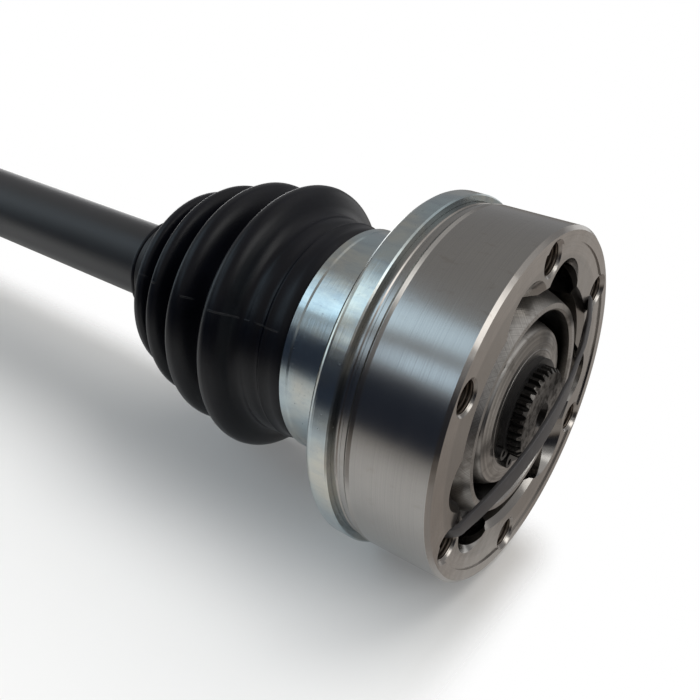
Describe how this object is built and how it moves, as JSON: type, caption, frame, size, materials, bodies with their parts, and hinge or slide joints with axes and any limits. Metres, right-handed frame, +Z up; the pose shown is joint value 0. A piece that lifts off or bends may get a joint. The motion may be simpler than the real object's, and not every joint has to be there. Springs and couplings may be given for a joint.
{
  "type": "drive shaft",
  "caption": "Drive shaft with a black bar, a plunging ball joint with a bolt-on outer race and a rubber bellows at each end, and a plastic transport strap across one mounting face.",
  "frame": {"origin": "centre of the wheel-end mounting face, on the joint's axis", "axes": "+X out of the wheel-end mounting face, so the bar runs to -X; +Z up through a bolt hole; +Y completes the right-handed set"},
  "size_m": [0.4515, 0.1028, 0.1028],
  "materials": {
    "black_bar": "satin",
    "turned_steel": "fine turned",
    "ground_steel": "ground",
    "bearing_steel": "polished",
    "spring_steel": "phosphated",
    "zinc_plate": "zinc plated",
    "boot_rubber": "satin",
    "clamp_steel": "black coated",
    "strap_nylon": "satin"
  },
  "bodies": {
    "shaft": {"bar": "black_bar", "wheel_hub": "ground_steel", "wheel_circlip": "spring_steel", "wheel_washer": "spring_steel", "wheel_boot": "boot_rubber", "wheel_clamp": "clamp_steel", "gearbox_hub": "ground_steel", "gearbox_circlip": "spring_steel", "gearbox_washer": "spring_steel", "gearbox_boot": "boot_rubber", "gearbox_clamp": "clamp_steel"},
    "wheel_inner_ball": {"wheel_ball_1": "bearing_steel"},
    "wheel_cage_and_balls": {"wheel_cage": "ground_steel", "wheel_ball_2": "bearing_steel", "wheel_ball_3": "bearing_steel", "wheel_ball_5": "bearing_steel", "wheel_ball_6": "bearing_steel"},
    "wheel_outer_ball": {"wheel_ball_4": "bearing_steel"},
    "wheel_outer_joint": {"wheel_race": "turned_steel", "wheel_flange": "zinc_plate", "transport_strap": "strap_nylon"},
    "gearbox_inner_ball": {"gearbox_ball_1": "bearing_steel"},
    "gearbox_cage_and_balls": {"gearbox_cage": "ground_steel", "gearbox_ball_2": "bearing_steel", "gearbox_ball_3": "bearing_steel", "gearbox_ball_5": "bearing_steel", "gearbox_ball_6": "bearing_steel"},
    "gearbox_outer_ball": {"gearbox_ball_4": "bearing_steel"},
    "gearbox_outer_joint": {"gearbox_race": "turned_steel", "gearbox_flange": "zinc_plate"}
  },
  "joints": [
    {"name": "wheel_plunge_inner_half", "type": "slide", "parent": "shaft", "child": "wheel_inner_ball", "axis": [1, 0, 0], "range_m": [-0.0035, 0.0035], "deforming": ["wheel_boot", "transport_strap"]},
    {"name": "wheel_bend_inner_half", "type": "hinge", "parent": "wheel_inner_ball", "child": "wheel_cage_and_balls", "pos_m": [-0.01675, 0, 0], "axis": [0, 1, 0], "range_deg": [-10, 10], "deforming": ["wheel_boot", "transport_strap"]},
    {"name": "wheel_bend", "type": "hinge", "parent": "wheel_cage_and_balls", "child": "wheel_outer_ball", "pos_m": [-0.01675, 0, 0], "axis": [0, 1, 0], "range_deg": [-10, 10], "deforming": ["wheel_boot", "transport_strap"]},
    {"name": "wheel_plunge", "type": "slide", "parent": "wheel_outer_ball", "child": "wheel_outer_joint", "axis": [1, 0, 0], "range_m": [-0.0035, 0.0035], "deforming": ["wheel_boot", "transport_strap"]},
    {"name": "gearbox_plunge_inner_half", "type": "slide", "parent": "shaft", "child": "gearbox_inner_ball", "axis": [-1, 0, 0], "range_m": [-0.0035, 0.0035], "deforming": ["gearbox_boot"]},
    {"name": "gearbox_bend_inner_half", "type": "hinge", "parent": "gearbox_inner_ball", "child": "gearbox_cage_and_balls", "pos_m": [-0.42325, 0, 0], "axis": [0, -1, 0], "range_deg": [-10, 10], "deforming": ["gearbox_boot"]},
    {"name": "gearbox_bend", "type": "hinge", "parent": "gearbox_cage_and_balls", "child": "gearbox_outer_ball", "pos_m": [-0.42325, 0, 0], "axis": [0, -1, 0], "range_deg": [-10, 10], "deforming": ["gearbox_boot"]},
    {"name": "gearbox_plunge", "type": "slide", "parent": "gearbox_outer_ball", "child": "gearbox_outer_joint", "axis": [-1, 0, 0], "range_m": [-0.0035, 0.0035], "deforming": ["gearbox_boot"]}
  ],
  "couplings": [
    {"joint": "wheel_plunge_inner_half", "follows": "wheel_plunge", "ratio": 1},
    {"joint": "wheel_bend_inner_half", "follows": "wheel_bend", "ratio": 1},
    {"joint": "gearbox_plunge_inner_half", "follows": "gearbox_plunge", "ratio": 1},
    {"joint": "gearbox_bend_inner_half", "follows": "gearbox_bend", "ratio": 1}
  ]
}
